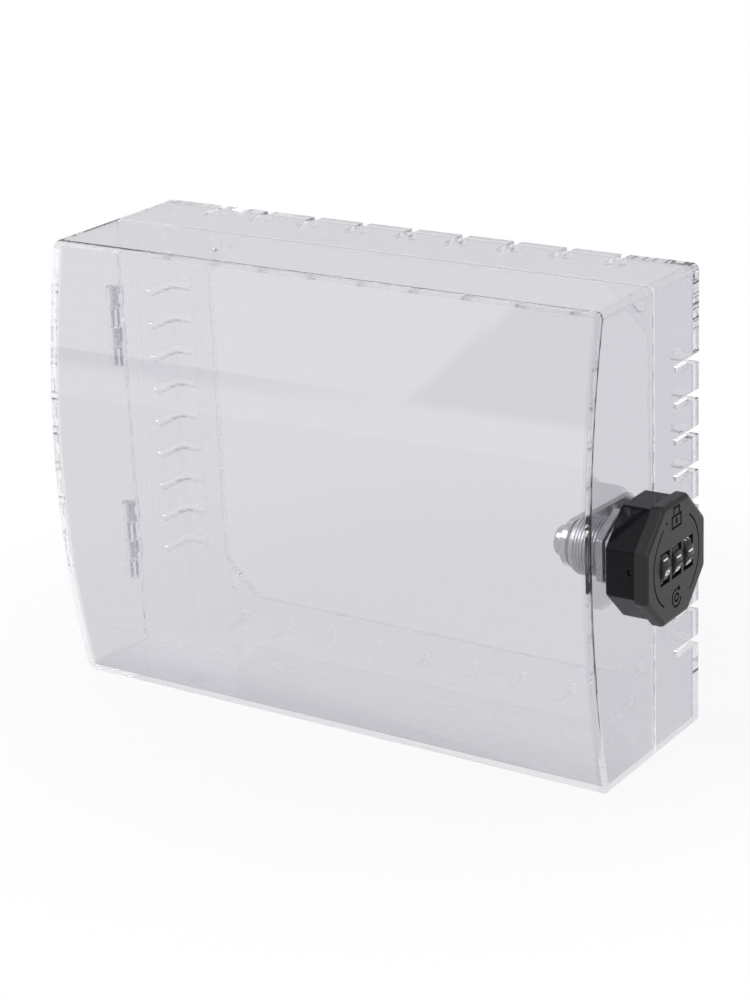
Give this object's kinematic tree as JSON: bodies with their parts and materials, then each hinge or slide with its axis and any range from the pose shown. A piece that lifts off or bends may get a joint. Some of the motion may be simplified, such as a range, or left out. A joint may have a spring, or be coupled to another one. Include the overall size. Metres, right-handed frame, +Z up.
{
  "type": "thermostat lock box",
  "caption": "Clear wall box with a hinged bulged front, vent slots and a dial combination cam lock, that covers a room control so that it can't be changed.",
  "frame": {"origin": "centre of the four wall screw holes, on the plane of the back that lies on the wall", "axes": "+X across the box to the lock side, +Y into the wall, +Z up"},
  "size_m": [0.2236, 0.0685, 0.15],
  "materials": {
    "clear_plastic": "clear moulded plastic, polished",
    "knob_gloss": "black, glossy",
    "knob_satin": "charcoal, satin",
    "dial_black": "black, satin, white digits",
    "zinc_plate": "bright zinc plate over die casting",
    "steel": "bright",
    "ring_brass": "turned"
  },
  "bodies": {
    "base": {"base_frame": "clear_plastic", "hinge_pin_upper": "steel", "hinge_pin_lower": "steel"},
    "cover": {"front_cover": "clear_plastic", "lock_barrel": "zinc_plate", "lock_nut": "zinc_plate"},
    "lock": {"knob_body": "knob_gloss", "knob_face": "knob_satin", "face_screws": "steel", "stop_pin": "steel", "dial_axle": "steel", "latch_bar": "steel", "latch_springs": "steel", "detent_spring": "steel", "spindle": "zinc_plate", "cam": "zinc_plate", "cam_flat_washer": "zinc_plate", "cam_spring_washer": "zinc_plate", "cam_screw": "zinc_plate"},
    "dial_1": {"dial_wheel_1": "dial_black", "code_ring_1": "ring_brass"},
    "dial_2": {"dial_wheel_2": "dial_black", "code_ring_2": "ring_brass"},
    "dial_3": {"dial_wheel_3": "dial_black", "code_ring_3": "ring_brass"},
    "reset": {"reset_pin": "dial_black"}
  },
  "joints": [
    {"name": "cover_hinge", "type": "hinge", "parent": "base", "child": "cover", "pos_m": [-0.1027, -0.029, 0], "axis": [0, 0, -1], "range_deg": [0, 120]},
    {"name": "lock_turn", "type": "hinge", "parent": "cover", "child": "lock", "pos_m": [0.1, -0.0485, 0], "axis": [-1, 0, 0], "range_deg": [0, 90]},
    {"name": "dial_1_spin", "type": "hinge", "parent": "lock", "child": "dial_1", "pos_m": [0.1119, -0.0558, 0], "axis": [0, 1, 0], "continuous": true},
    {"name": "dial_2_spin", "type": "hinge", "parent": "lock", "child": "dial_2", "pos_m": [0.1119, -0.0485, 0], "axis": [0, 1, 0], "continuous": true},
    {"name": "dial_3_spin", "type": "hinge", "parent": "lock", "child": "dial_3", "pos_m": [0.1119, -0.0412, 0], "axis": [0, 1, 0], "continuous": true},
    {"name": "reset_press", "type": "slide", "parent": "lock", "child": "reset", "axis": [0, 1, 0], "range_m": [0, 0.0008], "stiffness_N_per_m": 200}
  ]
}
